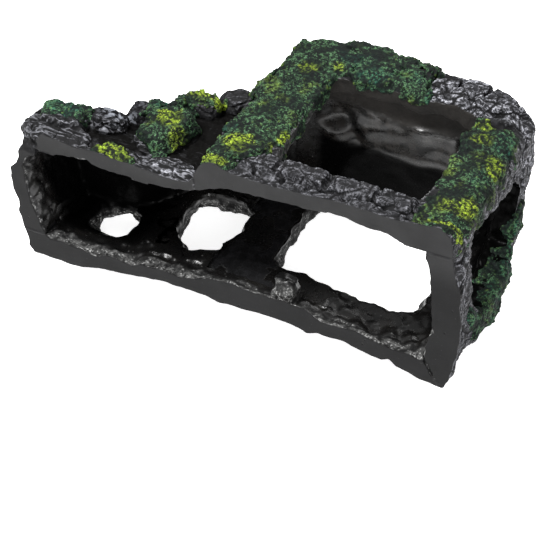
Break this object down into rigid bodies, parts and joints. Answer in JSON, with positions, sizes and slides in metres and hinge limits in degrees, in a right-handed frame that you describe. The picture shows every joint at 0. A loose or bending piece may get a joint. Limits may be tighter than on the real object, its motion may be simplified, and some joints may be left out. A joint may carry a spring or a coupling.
{
  "type": "resin cave ornament",
  "caption": "Hollow cast-rock ruin with a stepped side, a windowed platform and an arched end, open on its flat ground face, for fish to shelter in.",
  "frame": {"origin": "middle of the overall box at the level it lies on, with the three-window wall down", "axes": "+X along the length from the foot of the stairs to the arched end, -Y out of the flat ground face, +Z from the three-window wall to the platform window"},
  "size_m": [0.2514, 0.129, 0.098],
  "materials": {
    "bare_resin": "matte, lightly ground, small bubble pits",
    "inner_gloss": "glossy brushed lacquer over lumpy casting",
    "rock_paint": "matte charcoal with pale dry-brushed edges",
    "stone_paint": "matte grey dressed stone with pale edges and dark joints",
    "moss_paint": "matte granular moss, dark teal to yellow green"
  },
  "bodies": {
    "root": {"back_coping": "rock_paint", "back_jamb_stone": "rock_paint", "corner_stone_1": "stone_paint", "corner_stone_2": "stone_paint", "corner_stone_3": "stone_paint", "deck_frame_panel": "bare_resin", "foot_boulder": "rock_paint", "front_brick_1": "stone_paint", "front_brick_2": "stone_paint", "front_brick_3": "stone_paint", "front_brick_4": "stone_paint", "front_jamb_stone": "rock_paint", "left_end_wall": "bare_resin", "lower_window_wall": "bare_resin", "middle_boulder": "rock_paint", "moss_deck_back": "moss_paint", "moss_deck_left": "moss_paint", "moss_deck_right": "moss_paint", "moss_foot": "moss_paint", "moss_ledge": "moss_paint", "moss_middle": "moss_paint", "moss_sill": "moss_paint", "moss_upper": "moss_paint", "platform_slab": "inner_gloss", "ridge_boulder": "rock_paint", "right_end_wall": "bare_resin", "ring_filler": "bare_resin", "step_1": "rock_paint", "step_2": "rock_paint", "step_3": "rock_paint", "step_4": "rock_paint", "step_5": "rock_paint", "step_6": "rock_paint", "top_boulder": "rock_paint", "upper_boulder": "rock_paint", "upper_side_panel": "bare_resin", "white_boulder": "rock_paint"}
  },
  "joints": []
}
